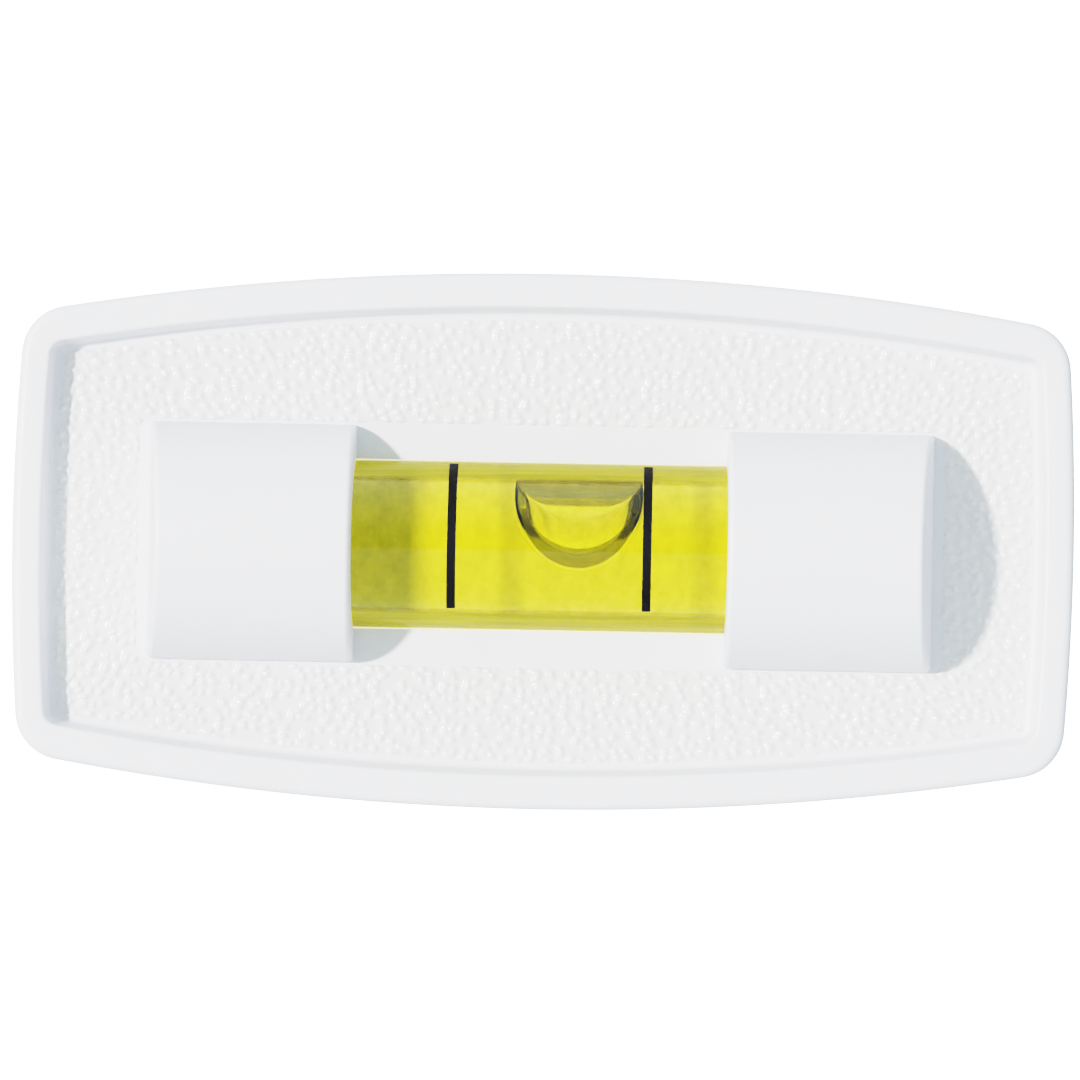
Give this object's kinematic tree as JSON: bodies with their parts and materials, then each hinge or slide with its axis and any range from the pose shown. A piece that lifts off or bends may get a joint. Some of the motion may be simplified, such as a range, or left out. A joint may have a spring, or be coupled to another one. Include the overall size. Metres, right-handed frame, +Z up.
{
  "type": "stick-on bubble level",
  "caption": "Small white moulded stick-on spirit level with a yellow-green vial between two half-round covers, recessed grained panel, raised rim and a foam pad on its back.",
  "frame": {"origin": "middle of the foam pad's outer adhesive face, the face that sticks to a wall", "axes": "+X to the right along the level, +Z up in use, +Y into the wall; the front with the vial faces -Y"},
  "size_m": [0.06, 0.0137, 0.0302],
  "materials": {
    "housing_white": "satin moulded white, pebble-grained on the recessed panel",
    "plate_white": "matt moulded white",
    "clear_acrylic": "polished clear",
    "yellow_spirit": "clear yellow-green liquid",
    "bubble_air": "clear",
    "black_ink": "matt print",
    "sealant": "cured clear",
    "hot_glue": "cloudy, soft",
    "pad_foam": "closed-cell foam",
    "pad_adhesive": "tacky film"
  },
  "bodies": {
    "level_body": {"front_housing": "housing_white", "back_plate": "plate_white", "glue_dab_left": "hot_glue", "glue_dab_right": "hot_glue", "vial_barrel": "clear_acrylic", "vial_end_plug": "clear_acrylic", "plug_seal_ring": "sealant", "vial_fluid": "yellow_spirit", "index_line_left": "black_ink", "index_line_right": "black_ink", "pad_adhesive_front": "pad_adhesive", "foam_pad": "pad_foam", "pad_adhesive_back": "pad_adhesive"},
    "bubble": {"vial_bubble": "bubble_air"}
  },
  "joints": [
    {"name": "bubble_travel", "type": "hinge", "parent": "level_body", "child": "bubble", "pos_m": [0.0004, -0.007, -0.2974], "axis": [0, 1, 0], "range_deg": [-2.62, 2], "stiffness_Nm_per_rad": 0.0005, "deforming": ["vial_fluid"]}
  ]
}
